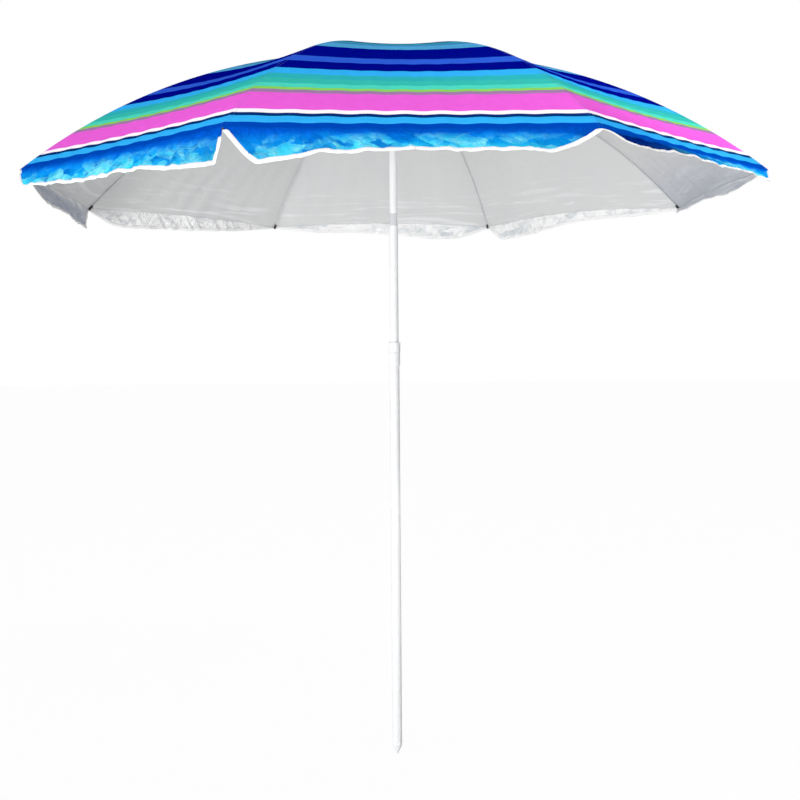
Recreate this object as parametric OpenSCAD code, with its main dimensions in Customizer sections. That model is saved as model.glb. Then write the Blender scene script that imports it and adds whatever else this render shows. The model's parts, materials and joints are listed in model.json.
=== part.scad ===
// Beach umbrella: eight-rib canopy on a two-piece telescoping pole with a tilt joint.
// The point of the ground spike is at the origin and the pole stands along +Z.
// The front panel of the canopy faces -Y, with a rib on each side of it.

/* [Lower pole] */
// outside diameter of the lower tube
lower_od = 25; // [24:0.5:30]
// wall of the lower tube
lower_wall = 1.2; // [0.8:0.1:1.4]
// length of the lower tube below the collar
lower_len = 993; // [600:1:1200]
// length of the narrowed tube end held in the collar
neck_len = 30; // [20:1:40]
// narrowing of the tube end
neck_step = 0.2; // [0.1:0.05:0.3]
// height of the ground point
spike_h = 28; // [20:1:60]
// radius of the blunt tip
spike_tip_r = 1.5; // [1:0.1:3]
// length of the plug that holds the point in the tube
spike_plug = 34; // [20:1:50]

/* [Twist lock] */
// outside diameter of the fixed collar
collar_od = 29; // [28.5:0.1:33]
// height of the fixed collar
collar_h = 32; // [28:1:42]
// outside diameter of the turning ring
ring_od = 30.4; // [30:0.2:36]
// height of the turning ring
ring_h = 27.7; // [24:0.1:36]
// number of finger flutes on the ring
flute_count = 12; // [8:1:16]
// radius of one finger flute
flute_r = 1.6; // [1:0.1:2]
// height of the split clamping sleeve
collet_h = 10.5; // [8:0.5:12]
// width of the slit in the clamping sleeve
collet_slit = 2; // [1:0.5:4]

/* [Upper pole] */
// outside diameter of the upper tube
upper_od = 22; // [21.6:0.1:22.2]
// wall of the upper tube
upper_wall = 1; // [0.8:0.1:1.4]
// length of the upper tube
upper_len = 561; // [460:1:700]
// length of the upper tube showing above the lock
upper_show = 299; // [260:1:360]
// length of the guide flange below the upper tube
guide_h = 10; // [6:1:20]

/* [Tilt joint] */
// height of the pin above the top of the upper tube
tilt_rise = 14; // [13.8:0.1:18]
// height from the pin to the bottom of the stem tube
tilt_reach = 18; // [17.5:0.5:24]
// radius of the hinge pin
tilt_pin_r = 3; // [2:0.1:3.2]
// rounding radius of the cheeks around the pin
cheek_r = 9.6; // [8:0.1:9.8]
// thickness of the centre tongue
tongue_w = 8; // [6:0.5:8.5]
// thickness of one cheek
cheek_w = 4.2; // [3:0.1:4.4]
// thickness of the shoulders that the tubes stand on
shoulder_h = 3.5; // [2:0.5:3.5]

/* [Stem] */
// outside diameter of the stem tube
stem_od = 20; // [19:0.1:20.2]
// wall of the stem tube
stem_wall = 1; // [0.8:0.1:1.2]
// length of the stem tube
stem_len = 403; // [400:1:440]
// length of the plugs inside the tubes
plug_len = 30; // [20:1:40]

/* [Hub and runner] */
// outside diameter of the notched discs
disc_od = 60; // [58:1:68]
// radius of the wire rings on which ribs and struts turn
ring_r = 22; // [21:0.5:24]
// radius of the ring wire
wire_r = 1; // [0.8:0.1:1.2]
// width of a notch
notch_w = 4.8; // [4.6:0.1:5.4]
// height of the hub disc above the ring
hub_up = 7; // [6.5:0.5:9]
// depth of the hub disc below the ring
hub_down = 8; // [6:0.5:10]
// length of the hub sleeve over the stem
hub_sleeve = 30; // [24:1:40]
// drop from the hub ring to the runner ring with the canopy open
open_drop = 130; // [120:1:140]
// length of the runner sleeve below its ring
runner_down = 30; // [24:1:30]
// length of the runner sleeve above its ring
runner_up = 10; // [7:1:14]
// height of the runner disc above its ring
runner_disc_up = 5; // [4:0.5:6]
// depth of the runner disc below its ring
runner_disc_down = 7; // [6:0.5:9]
// width of the grip bead around the bottom of the runner
runner_bead = 2; // [1:0.5:4]
// outside diameter of the hub and runner sleeves
sleeve_od = 28; // [25:0.5:30]

/* [Ribs and struts] */
// radius of the rib wire
rib_r = 2; // [1.6:0.1:2.1]
// straight length of a rib from the hub
rib_straight = 190; // [186:1:240]
// bending radius of the outer part of a rib
rib_bend = 1450; // [1250:10:1600]
// slope of a rib at the hub
root_slope = 9; // [7:0.2:11]
// slope of a rib at its tip
tip_slope = 40.2; // [36:0.2:44]
// distance from the hub ring to the strut clip along the rib
clip_at = 175; // [165:1:178]
// distance of the clip pin under the rib axis
clip_drop = 3; // [2.6:0.1:4]
// length of the clip along the rib
clip_len = 14; // [10:1:18]
// height of the clip above the rib axis
clip_over = 2.7; // [2.5:0.1:2.8]
// material of the clip under its pin
clip_under = 3.2; // [3:0.1:4]
// gap between the clip and the end of the strut
clip_gap = 0.9; // [0.6:0.1:1]
// radius of the clip pin
clip_pin_r = 1.5; // [1.2:0.1:1.7]
// radius of the strut wire
strut_r = 1.75; // [1.4:0.05:1.9]
// sideways distance from the rib axis to the end of the strut
strut_side = 5.9; // [5.7:0.1:6.4]
// radius of the eyes at the ends of ribs and struts
eye_r = 3.5; // [3:0.1:3.7]
// thickness of the eyes
eye_w = 3.6; // [3:0.1:3.8]
// radius of the rib tip caps
tip_r = 3; // [2.6:0.1:3.1]
// length of a rib tip cap over the rib
tip_len = 15; // [10:1:24]

/* [Canopy] */
// height of the cloth above the rib axis
cloth_lift = 4; // [4:0.1:5]
// thickness of the cloth solid
cloth_t = 0.8; // [0.6:0.1:1.2]
// radius where the panels start beside the hub
cloth_start = 34; // [34:1:40]
// sag of a panel half way to the rim
sag_mid = 7; // [0:1:14]
// sag of a panel at the rim
sag_rim = 3; // [0:1:8]
// length of the hanging edge flap
flap_len = 70; // [40:1:90]
// length of the flap in the notch at a rib
flap_min = 6; // [5:1:12]
// width of the sloping side of a flap notch
flap_notch = 84; // [60:1:110]
// angle of the flap from the vertical
flap_out = 40; // [36:1:48]
// height of the ripples at the lower edge of the flap
ripple_h = 7; // [0:0.5:10]
// ripples across one panel
ripple_n = 2.5; // [1:0.5:4]
// radius of the round patch over the hub
patch_r = 52; // [46:1:60]
// height of the top cap above the patch
cap_h = 15; // [14:0.5:20]
// radius of the top cap flange
cap_r = 17; // [14:1:20]
// radius of the ball on the top cap
cap_ball = 4.6; // [4:0.1:4.6]
// radius of the top cap pin in the hub
cap_pin_r = 3.5; // [2.5:0.1:3.8]

/* [Runner catch] */
// width of the catch
catch_w = 5; // [4:0.5:6]
// thickness of the catch leaf
catch_t = 0.8; // [0.6:0.1:1]
// length of the leaf from its root to the nose
catch_len = 54; // [46:1:60]
// height of the nose
nose_h = 16; // [12:1:18]
// height of the flat tip of the nose
nose_flat = 4; // [2:0.5:6]
// radius of the curl at the root of the leaf
curl_r = 1.4; // [1:0.1:1.6]
// distance of the nose tip from the pole axis
nose_reach = 13.5; // [12.5:0.1:14]

/* [Fits] */
// radial play where tubes slide in one another
slide_play = 0.3; // [0.25:0.05:0.4]
// radial play of guides that carry the sliding tube
guide_play = 0.06; // [0.03:0.01:0.1]
// radial play between a plug and its tube
plug_play = 0.05; // [0.02:0.01:0.1]
// radial play between a tip cap and the curved rib
tip_play = 0.12; // [0.1:0.01:0.2]
// radial play of hinge pins
pin_play = 0.08; // [0.04:0.01:0.1]
// extra play of an eye on the curved ring wire
eye_play = 0.15; // [0.12:0.01:0.2]
// gap between flat faces that move past one another
face_gap = 0.3; // [0.3:0.05:0.5]

/* [Hidden] */
$fn = 96;
rib_count = 8;
half_step = 180 / rib_count;
lower_r = lower_od / 2;
lower_in = lower_r - lower_wall;
upper_r = upper_od / 2;
upper_in = upper_r - upper_wall;
stem_r = stem_od / 2;
stem_in = stem_r - stem_wall;
sleeve_r = sleeve_od / 2;
disc_r = disc_od / 2;
collar_z = spike_h + lower_len;
spigot_z = collar_z + collar_h;
ring_z = spigot_z + face_gap;
lock_top = ring_z + ring_h;
lip_h = 1.6;
spigot_r = ring_od / 2 - 2.2;
spigot_top = lock_top - lip_h - face_gap - collet_h;
upper_top = lock_top + upper_show;
upper_bottom = upper_top - upper_len;
tilt_z = upper_top + tilt_rise;
stem_z = tilt_z + tilt_reach;
hub_seat = 6;
hub_z = stem_z + stem_len + hub_seat;
runner_z = hub_z - open_drop;
notch_in = ring_r - eye_r - 1.5;
rod_from = wire_r + eye_play + 1;
rib_turned = tip_slope - root_slope;
rib_arc = rib_turned * PI / 180 * rib_bend;
rib_len = rib_straight + rib_arc;
clip_w = strut_side - eye_w / 2 - clip_gap;
clip_reach = sqrt(clip_at * clip_at + clip_drop * clip_drop);
clip_slope = root_slope + atan2(clip_drop, clip_at);
strut_run = clip_reach * cos(clip_slope);
strut_rise = open_drop - clip_reach * sin(clip_slope);
strut_len = sqrt(strut_run * strut_run + strut_rise * strut_rise);
strut_slope = atan2(strut_rise, strut_run);
patch_z = hub_z + hub_up + face_gap;
catch_root = sqrt(stem_in * stem_in - catch_w * catch_w / 4) - plug_play - curl_r;
catch_top = runner_z - runner_down - 2 * face_gap;
catch_z = catch_top - catch_len;
cloth_rows = 8;
flap_rows = 3;
half_cols = 8;

function rib_turn(k) = half_step + (k - 1) * 2 * half_step;

// Point on the rib axis in the rib's own plane, at a length s from the hub ring.
function slope_at(s) = root_slope + max(0, s - rib_straight) / rib_bend * 180 / PI;
function radius_at(s) = ring_r + min(s, rib_straight) * cos(root_slope)
    + rib_bend * (sin(slope_at(s)) - sin(root_slope));
function drop_at(s) = min(s, rib_straight) * sin(root_slope)
    + rib_bend * (cos(root_slope) - cos(slope_at(s)));

module ring_of(outer, inner, height) {
    difference() {
        cylinder(r = outer, h = height);
        translate([0, 0, -1])
            cylinder(r = inner, h = height + 2);
    }
}

module wire_torus(wire) {
    rotate_extrude()
        translate([ring_r, 0])
            circle(r = wire);
}

// Puts a piece drawn in a rib's plane at the place of rib k, with the ring axis at z = 0.
module at_rib(k) {
    rotate([0, 0, rib_turn(k)])
        translate([ring_r, 0, 0])
            children();
}

// Cylinder along Y with its middle at y = 0.
module cross_pin(r, w) {
    rotate([90, 0, 0])
        cylinder(r = r, h = w, center = true);
}

module lower_tube() {
    color("gainsboro")
    difference() {
        union() {
            translate([0, 0, spike_h])
                cylinder(r = lower_r, h = lower_len);
            translate([0, 0, collar_z])
                cylinder(r = lower_r - neck_step, h = neck_len);
        }
        translate([0, 0, spike_h - 1])
            cylinder(r = lower_in, h = lower_len + neck_len + 2);
    }
}

module ground_spike() {
    plug = lower_in - plug_play;
    color("whitesmoke")
    rotate_extrude()
        polygon([
            [0, 0],
            [spike_tip_r * 0.6, 0],
            [spike_tip_r, spike_tip_r * 0.5],
            [lower_r, spike_h - 3],
            [lower_r, spike_h],
            [plug, spike_h],
            [plug, spike_h + spike_plug - 2],
            [plug - 2, spike_h + spike_plug],
            [plug - 3, spike_h + spike_plug],
            [plug - 3, spike_h + 6],
            [0, spike_h + 6]
        ]);
}

module pole_collar() {
    outer = collar_od / 2;
    seat = lower_r - neck_step + plug_play;
    color("whitesmoke")
    translate([0, 0, collar_z])
        rotate_extrude()
            polygon([
                [seat, 0],
                [outer - 1.2, 0],
                [outer, 1.2],
                [outer, collar_h - 0.8],
                [outer - 0.8, collar_h],
                [spigot_r - face_gap, collar_h],
                [spigot_r - face_gap, spigot_top - collar_z],
                [lower_in, spigot_top - collar_z],
                [lower_in, neck_len],
                [seat, neck_len]
            ]);
}

module lock_collet() {
    color("dimgray")
    translate([0, 0, spigot_top])
        difference() {
            ring_of(spigot_r - face_gap, upper_r + guide_play, collet_h);
            translate([0, -collet_slit / 2, -1])
                cube([lower_od, collet_slit, collet_h + 2]);
        }
}

module lock_ring() {
    outer = ring_od / 2;
    color("whitesmoke")
    translate([0, 0, ring_z])
        difference() {
            rotate_extrude()
                polygon([
                    [spigot_r, 0],
                    [outer - 0.6, 0],
                    [outer, 0.6],
                    [outer, ring_h - 2],
                    [outer - 2, ring_h],
                    [upper_r + slide_play, ring_h],
                    [upper_r + slide_play, ring_h - lip_h],
                    [spigot_r, ring_h - lip_h]
                ]);
            for (i = [0:flute_count - 1])
                rotate([0, 0, i * 360 / flute_count])
                    translate([outer + flute_r * 0.6, 0, 4])
                        cylinder(r = flute_r, h = ring_h - 9);
        }
}

module upper_tube() {
    color("gainsboro")
    translate([0, 0, upper_bottom])
        ring_of(upper_r, upper_in, upper_len);
}

module pole_guide() {
    color("dimgray")
    translate([0, 0, upper_bottom])
        difference() {
            union() {
                translate([0, 0, -guide_h])
                    cylinder(r = lower_in - guide_play, h = guide_h);
                cylinder(r = upper_in - plug_play, h = plug_len);
            }
            translate([0, 0, -guide_h - 1])
                cylinder(r = upper_in - 3, h = guide_h + plug_len + 2);
        }
}

module tilt_cheek(side) {
    inner = tongue_w / 2 + face_gap;
    intersection() {
        translate([0, side * (inner + cheek_w / 2), 0]) {
            cross_pin(cheek_r, cheek_w);
            translate([-cheek_r, -cheek_w / 2, shoulder_h - tilt_rise - 1])
                cube([2 * cheek_r, cheek_w, tilt_rise - shoulder_h + 1]);
        }
        translate([0, 0, -tilt_rise])
            cylinder(r = upper_r, h = tilt_rise + cheek_r + 1);
    }
}

module tilt_fork() {
    color("darkgray")
    translate([0, 0, tilt_z])
        difference() {
            union() {
                tilt_cheek(-1);
                tilt_cheek(1);
                translate([0, 0, -tilt_rise])
                    cylinder(r = upper_r, h = shoulder_h);
                translate([0, 0, -tilt_rise - plug_len])
                    cylinder(r = upper_in - plug_play, h = plug_len + 1);
            }
            cross_pin(tilt_pin_r + plug_play / 5, 3 * upper_r);
            translate([0, 0, -tilt_rise - plug_len - 1])
                cylinder(r = upper_in - 3, h = plug_len);
        }
}

module tilt_pin() {
    flank = tongue_w / 2 + face_gap + cheek_w;
    color("lightgray")
    translate([0, 0, tilt_z]) {
        cross_pin(tilt_pin_r, 2 * flank + 1);
        for (side = [-1, 1])
            translate([0, side * (flank + 0.8), 0])
                cross_pin(tilt_pin_r + 1.8, 1.6);
    }
}

module tilt_tongue() {
    color("darkgray")
    translate([0, 0, tilt_z])
        difference() {
            union() {
                cross_pin(cheek_r - 0.6, tongue_w);
                translate([0.6 - cheek_r, -tongue_w / 2, 0])
                    cube([2 * cheek_r - 1.2, tongue_w, tilt_reach - 1]);
                translate([0, 0, tilt_reach - shoulder_h])
                    cylinder(r = stem_r, h = shoulder_h);
                translate([0, 0, tilt_reach - 1])
                    cylinder(r = stem_in - plug_play, h = plug_len + 1);
            }
            cross_pin(tilt_pin_r + pin_play, tongue_w + 2);
            translate([0, 0, tilt_reach + 4])
                cylinder(r = stem_in - 3, h = plug_len);
        }
}

module stem_tube() {
    color("gainsboro")
    difference() {
        translate([0, 0, stem_z])
            ring_of(stem_r, stem_in, stem_len);
        translate([-catch_w / 2 - face_gap, -stem_r - 1, catch_top - nose_h - 3])
            cube([catch_w + 2 * face_gap, stem_r, nose_h + 4.5]);
    }
}

module notches(from_z, height) {
    for (k = [1:rib_count])
        rotate([0, 0, rib_turn(k)])
            translate([notch_in, -notch_w / 2, from_z])
                cube([disc_r, notch_w, height]);
}

module hub() {
    color("whitesmoke")
    translate([0, 0, hub_z])
        difference() {
            rotate_extrude()
                polygon([
                    [0, -hub_seat],
                    [stem_r + plug_play, -hub_seat],
                    [stem_r + plug_play, -hub_sleeve],
                    [sleeve_r - 1, -hub_sleeve],
                    [sleeve_r, 1 - hub_sleeve],
                    [sleeve_r, -hub_down - 3],
                    [sleeve_r + 2, -hub_down],
                    [disc_r - 1.5, -hub_down],
                    [disc_r, 1.5 - hub_down],
                    [disc_r, hub_up - 2],
                    [disc_r - 2, hub_up],
                    [0, hub_up]
                ]);
            notches(-hub_down - 1, hub_down + 1 + eye_r + 0.7);
            wire_torus(wire_r + plug_play / 2);
            translate([0, 0, -hub_seat - 1])
                cylinder(r = cap_pin_r, h = hub_seat + hub_up + 2);
        }
}

module hub_ring() {
    color("silver")
    translate([0, 0, hub_z])
        wire_torus(wire_r);
}

module crown_patch() {
    flat = disc_r - 1;
    drop = hub_up + face_gap - cloth_lift - cloth_t - 0.4
        + (patch_r - ring_r) * tan(root_slope);
    color("royalblue")
    translate([0, 0, patch_z])
        rotate_extrude()
            polygon([
                [cap_pin_r + face_gap, 0],
                [flat, 0],
                [patch_r, -drop],
                [patch_r, cloth_t - drop],
                [flat, cloth_t],
                [cap_pin_r + face_gap, cloth_t]
            ]);
}

module top_cap() {
    neck = cap_h - 2 * cap_ball + 2;
    color("whitesmoke")
    translate([0, 0, patch_z + cloth_t])
        union() {
            rotate_extrude()
                polygon([
                    [0, 0],
                    [cap_r, 0],
                    [cap_r, 1.5],
                    [cap_r - 3, 4],
                    [7, 6.5],
                    [cap_ball - 2, neck],
                    [0, neck]
                ]);
            translate([0, 0, cap_h - cap_ball])
                sphere(r = cap_ball);
            translate([0, 0, -cloth_t - face_gap - hub_up])
                cylinder(r = cap_pin_r - plug_play, h = cloth_t + face_gap + hub_up + 1);
        }
}

module runner_catch() {
    nose_from = catch_len - nose_h;
    color("silver")
    translate([0, -catch_root, catch_z]) {
        rotate([0, 90, 0])
            cylinder(r = curl_r, h = catch_w, center = true);
        translate([-catch_w / 2, 0, 0])
            cube([catch_w, catch_t, catch_len]);
        translate([catch_w / 2, 0, 0])
            rotate([90, 0, -90])
                linear_extrude(height = catch_w)
                    polygon([
                        [-catch_t, catch_len],
                        [nose_reach - catch_root, catch_len],
                        [nose_reach - catch_root, catch_len - nose_flat],
                        [-catch_t, nose_from]
                    ]);
    }
}

module runner() {
    bore = stem_r + slide_play;
    rim = disc_r - 1;
    color("whitesmoke")
    translate([0, 0, runner_z])
        difference() {
            rotate_extrude()
                polygon([
                    [bore, -runner_down],
                    [sleeve_r + runner_bead - 1, -runner_down],
                    [sleeve_r + runner_bead, 1 - runner_down],
                    [sleeve_r + runner_bead, 4 - runner_down],
                    [sleeve_r, 4 + 1.5 * runner_bead - runner_down],
                    [sleeve_r, -runner_disc_down - 3],
                    [sleeve_r + 3, -runner_disc_down],
                    [rim - 2, -runner_disc_down],
                    [rim, 2 - runner_disc_down],
                    [rim, runner_disc_up - 1],
                    [rim - 1, runner_disc_up],
                    [sleeve_r + 1, runner_disc_up],
                    [sleeve_r, runner_disc_up + 1],
                    [sleeve_r, runner_up],
                    [bore, runner_up]
                ]);
            notches(-eye_r - 0.8, eye_r + runner_up);
            wire_torus(wire_r + plug_play / 2);
        }
}

module runner_ring() {
    color("silver")
    translate([0, 0, runner_z])
        wire_torus(wire_r);
}

// Flat eye around the ring wire, with its hole along Y.
module ring_eye() {
    difference() {
        cross_pin(eye_r, eye_w);
        cross_pin(wire_r + eye_play, eye_w + 2);
    }
}

module rib(k) {
    color("silver")
    translate([0, 0, hub_z])
        at_rib(k) {
            ring_eye();
            rotate([0, root_slope, 0])
                translate([rod_from, 0, 0])
                    rotate([0, 90, 0])
                        cylinder(r = rib_r, h = rib_straight - rod_from);
            rotate([0, root_slope, 0])
                translate([rib_straight, 0, 0])
                    rotate([0, 90, 0])
                        cylinder(r = rib_r / 2, h = 4 * rib_r, center = true);
            rotate([0, root_slope, 0])
                translate([rib_straight, 0, -rib_bend])
                    rotate([90, 0, 0])
                        rotate([0, 0, 90 - rib_turned])
                            rotate_extrude(angle = rib_turned)
                                translate([rib_bend, 0])
                                    circle(r = rib_r);
        }
}

module rib_clip(k) {
    color("dimgray")
    translate([0, 0, hub_z])
        at_rib(k)
            rotate([0, root_slope, 0])
                translate([clip_at, 0, 0]) {
                    difference() {
                        translate([-clip_len / 2, -clip_w, -clip_drop - clip_under])
                            cube([clip_len, 2 * clip_w, clip_drop + clip_under + clip_over]);
                        rotate([0, 90, 0])
                            cylinder(r = rib_r + plug_play / 2, h = clip_len + 2, center = true);
                    }
                    translate([0, strut_side, -clip_drop]) {
                        cross_pin(clip_pin_r, 2 * (strut_side - clip_w + 1));
                        translate([0, eye_w / 2 + 1.2, 0])
                            cross_pin(clip_pin_r + 1.2, 1.4);
                    }
                }
}

module rib_tip(k) {
    color("dimgray")
    translate([0, 0, hub_z - drop_at(rib_len)])
        rotate([0, 0, rib_turn(k)])
            translate([radius_at(rib_len), 0, 0])
                rotate([0, 90 + tip_slope, 0])
                    difference() {
                        union() {
                            translate([0, 0, -tip_len])
                                cylinder(r = tip_r, h = tip_len + 1);
                            translate([0, 0, 1])
                                sphere(r = tip_r);
                        }
                        translate([0, 0, -tip_len - 1])
                            cylinder(r = rib_r + tip_play, h = tip_len + 1);
                    }
}

module strut(k) {
    turn_in = atan2(strut_side, strut_len);
    reach = strut_len / cos(turn_in);
    color("silver")
    translate([0, 0, runner_z])
        at_rib(k)
            rotate([0, -strut_slope, 0]) {
                ring_eye();
                difference() {
                    union() {
                        rotate([0, 0, turn_in])
                            translate([rod_from, 0, 0])
                                rotate([0, 90, 0])
                                    cylinder(r = strut_r, h = reach - rod_from);
                        translate([strut_len, strut_side, 0])
                            cross_pin(eye_r, eye_w);
                    }
                    translate([strut_len, strut_side, 0])
                        cross_pin(clip_pin_r + pin_play, 3 * eye_w);
                }
            }
}

// Across a gore, u runs from -1 to 1 between the middles of two panels.
function col_u(j) = sign(j) * pow(abs(j) / half_cols, 1.4);
function panel_of(k, u) = u < 0 ? k - 1 : k;
function out_dir(u) = [cos(half_step), sign(u) * sin(half_step)];

function cloth_point(i, u) =
    let(v = i / cloth_rows,
        s0 = (cloth_start - ring_r) / cos(root_slope),
        s = s0 + (rib_len - s0) * v,
        r = radius_at(s) + cloth_lift * sin(slope_at(s)),
        z = cloth_lift * cos(slope_at(s)) - drop_at(s),
        y = u * (r * sin(half_step) * cos(half_step) - face_gap),
        sag = (sag_mid * sin(180 * v) + sag_rim * v) * sin(90 * abs(u)),
        out = -sag * sin(slope_at(s)) * out_dir(u))
    [r - abs(y) * tan(half_step) + out[0], y + out[1], z - sag * cos(slope_at(s))];

// Length of the flap at a distance c from the rib along the rim.
function flap_at(c) =
    let(w = min(1, c / flap_notch))
    flap_min + (flap_len - flap_min) * w * (1.25 - 0.25 * w * w * w);

function ripple(k, u) =
    let(p = panel_of(k, u), t = u < 0 ? 1 + u : u - 1)
    ripple_h * sin(180 * ripple_n * t + 137 * p) * min(1, 3 * abs(u));

function flap_point(i, u, k) =
    let(base = cloth_point(cloth_rows, u),
        f = (i - cloth_rows) / flap_rows,
        h = f * flap_at(abs(base[1]) / cos(half_step)),
        w = f * f * ripple(k, u),
        out = (h * sin(flap_out) + w * cos(flap_out)) * out_dir(u))
    base + [out[0], out[1], w * sin(flap_out) - h * cos(flap_out)];

function gore_point(i, j, k) =
    i <= cloth_rows ? cloth_point(i, col_u(j)) : flap_point(i, col_u(j), k);

function gore_normal(i, j, k) =
    let(rows = cloth_rows + flap_rows,
        down = gore_point(min(i + 1, rows), j, k) - gore_point(max(i - 1, 0), j, k),
        over = gore_point(i, min(j + 1, half_cols), k) - gore_point(i, max(j - 1, -half_cols), k),
        n = cross(down, over))
    n / norm(n);

module canopy(k) {
    rows = cloth_rows + flap_rows;
    cols = 2 * half_cols + 1;
    count = (rows + 1) * cols;
    under = [for (i = [0:rows]) for (j = [-half_cols:half_cols]) gore_point(i, j, k)];
    over = [for (i = [0:rows]) for (j = [-half_cols:half_cols])
        gore_point(i, j, k) + cloth_t * gore_normal(i, j, k)];
    quads = concat(
        [for (i = [0:rows - 1]) for (j = [0:cols - 2])
            [i * cols + j, (i + 1) * cols + j, (i + 1) * cols + j + 1, i * cols + j + 1]],
        [for (i = [0:rows - 1]) for (j = [0:cols - 2])
            count * [1, 1, 1, 1]
                + [i * cols + j, i * cols + j + 1, (i + 1) * cols + j + 1, (i + 1) * cols + j]],
        [for (i = [0:rows - 1])
            [i * cols, count + i * cols, count + (i + 1) * cols, (i + 1) * cols]],
        [for (i = [1:rows])
            [i * cols + cols - 1, count + i * cols + cols - 1,
                count + i * cols - 1, i * cols - 1]],
        [for (j = [0:cols - 2])
            [j, j + 1, count + j + 1, count + j]],
        [for (j = [rows * cols:count - 2])
            [j, count + j, count + j + 1, j + 1]]
    );
    faces = [for (q = quads) for (t = [0:1]) [q[0], q[1 + t], q[2 + t]]];
    color("deepskyblue")
    translate([0, 0, hub_z])
        rotate([0, 0, rib_turn(k)])
            polyhedron(points = concat(under, over), faces = faces);
}

lower_tube();
ground_spike();
pole_collar();
lock_collet();
lock_ring();
upper_tube();
pole_guide();
tilt_fork();
tilt_pin();
tilt_tongue();
stem_tube();
hub();
hub_ring();
crown_patch();
top_cap();
runner_catch();
runner();
runner_ring();
for (k = [1:rib_count]) {
    rib(k);
    rib_clip(k);
    rib_tip(k);
    strut(k);
    canopy(k);
}
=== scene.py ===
import bpy
import json
import math
import numpy as np
from mathutils import Euler, Matrix, Vector


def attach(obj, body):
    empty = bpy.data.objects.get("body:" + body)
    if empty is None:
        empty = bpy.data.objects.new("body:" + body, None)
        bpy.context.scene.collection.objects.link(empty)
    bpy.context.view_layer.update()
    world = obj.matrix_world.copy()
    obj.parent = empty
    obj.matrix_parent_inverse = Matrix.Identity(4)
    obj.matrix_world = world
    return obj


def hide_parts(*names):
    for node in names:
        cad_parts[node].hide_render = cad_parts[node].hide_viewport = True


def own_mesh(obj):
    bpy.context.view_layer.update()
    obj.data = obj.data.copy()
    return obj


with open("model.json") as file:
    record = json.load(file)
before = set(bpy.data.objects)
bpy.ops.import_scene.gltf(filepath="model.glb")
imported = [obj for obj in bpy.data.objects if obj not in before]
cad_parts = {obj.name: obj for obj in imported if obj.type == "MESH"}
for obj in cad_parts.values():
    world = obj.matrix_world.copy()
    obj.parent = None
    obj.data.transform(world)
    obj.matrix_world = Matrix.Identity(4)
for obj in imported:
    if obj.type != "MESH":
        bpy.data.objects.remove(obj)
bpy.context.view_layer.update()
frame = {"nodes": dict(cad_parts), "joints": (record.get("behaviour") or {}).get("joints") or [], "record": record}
nodes = frame["nodes"]
print("frame loaded:", len(nodes), "nodes")


# helpers for node trees
def addNode(tree, kind, **settings):
    node = tree.nodes.new(kind)
    for key, value in settings.items():
        if key.startswith("in_"):
            node.inputs[key[3:].replace("_", " ")].default_value = value
        else:
            setattr(node, key, value)
    return node


def feed(tree, socket, value):
    # a number or a colour is set on the socket, an output is linked to it
    if isinstance(value, (int, float)):
        socket.default_value = value
    elif isinstance(value, tuple):
        socket.default_value = value + (1.0,)
    else:
        tree.links.new(value, socket)


def maths(tree, operation, a, b=None):
    node = addNode(tree, "ShaderNodeMath", operation=operation)
    feed(tree, node.inputs[0], a)
    if b is not None:
        feed(tree, node.inputs[1], b)
    return node.outputs[0]


def scaled(tree, value, by, plus=None):
    product = maths(tree, "MULTIPLY", value, by)
    return product if plus is None else maths(tree, "ADD", product, plus)


def mapRange(tree, value, fromLow, fromHigh, toLow=0.0, toHigh=1.0):
    node = addNode(tree, "ShaderNodeMapRange")
    for socket, given in zip(node.inputs, (value, fromLow, fromHigh, toLow, toHigh)):
        feed(tree, socket, given)
    return node.outputs[0]


def mixColour(tree, factor, a, b, blend="MIX"):
    node = addNode(tree, "ShaderNodeMix", data_type="RGBA", blend_type=blend)
    for index, value in ((0, factor), (6, a), (7, b)):
        feed(tree, node.inputs[index], value)
    return node.outputs[2]


def attribute(tree, name):
    return addNode(tree, "ShaderNodeAttribute", attribute_name=name).outputs["Fac"]


def addBump(tree, shader, height, strength, distance):
    bump = addNode(tree, "ShaderNodeBump", in_Strength=strength, in_Distance=distance)
    tree.links.new(height, bump.inputs["Height"])
    tree.links.new(bump.outputs[0], shader.inputs["Normal"])


def linear(colour):
    # screen values from 0 to 255 to the linear ones that shaders take
    shares = (c / 255 for c in colour)
    return tuple(c / 12.92 if c <= 0.04045 else ((c + 0.055) / 1.055) ** 2.4 for c in shares)


def newMaterial(name):
    material = bpy.data.materials.new(name)
    material.use_nodes = True
    tree = material.node_tree
    return material, tree, tree.nodes["Principled BSDF"]


def newGroup(name, inputs, outputs):
    group = bpy.data.node_groups.new(name, "ShaderNodeTree")
    for label, kind in inputs:
        group.interface.new_socket(label, in_out="INPUT", socket_type=kind)
    for label, kind in outputs:
        group.interface.new_socket(label, in_out="OUTPUT", socket_type=kind)
    return group, group.nodes.new("NodeGroupInput"), group.nodes.new("NodeGroupOutput")


def useGroup(tree, group, **values):
    node = addNode(tree, "ShaderNodeGroup", node_tree=group)
    for key, value in values.items():
        feed(tree, node.inputs[key], value)
    return node


# plain weave: two sets of threads crossing, with thicker and thinner places
weaveSpec = dict(slubScale=55.0, slubDetail=3.0, slubHeight=0.5, shadeSpan=0.22, shadeLow=0.89)


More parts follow.
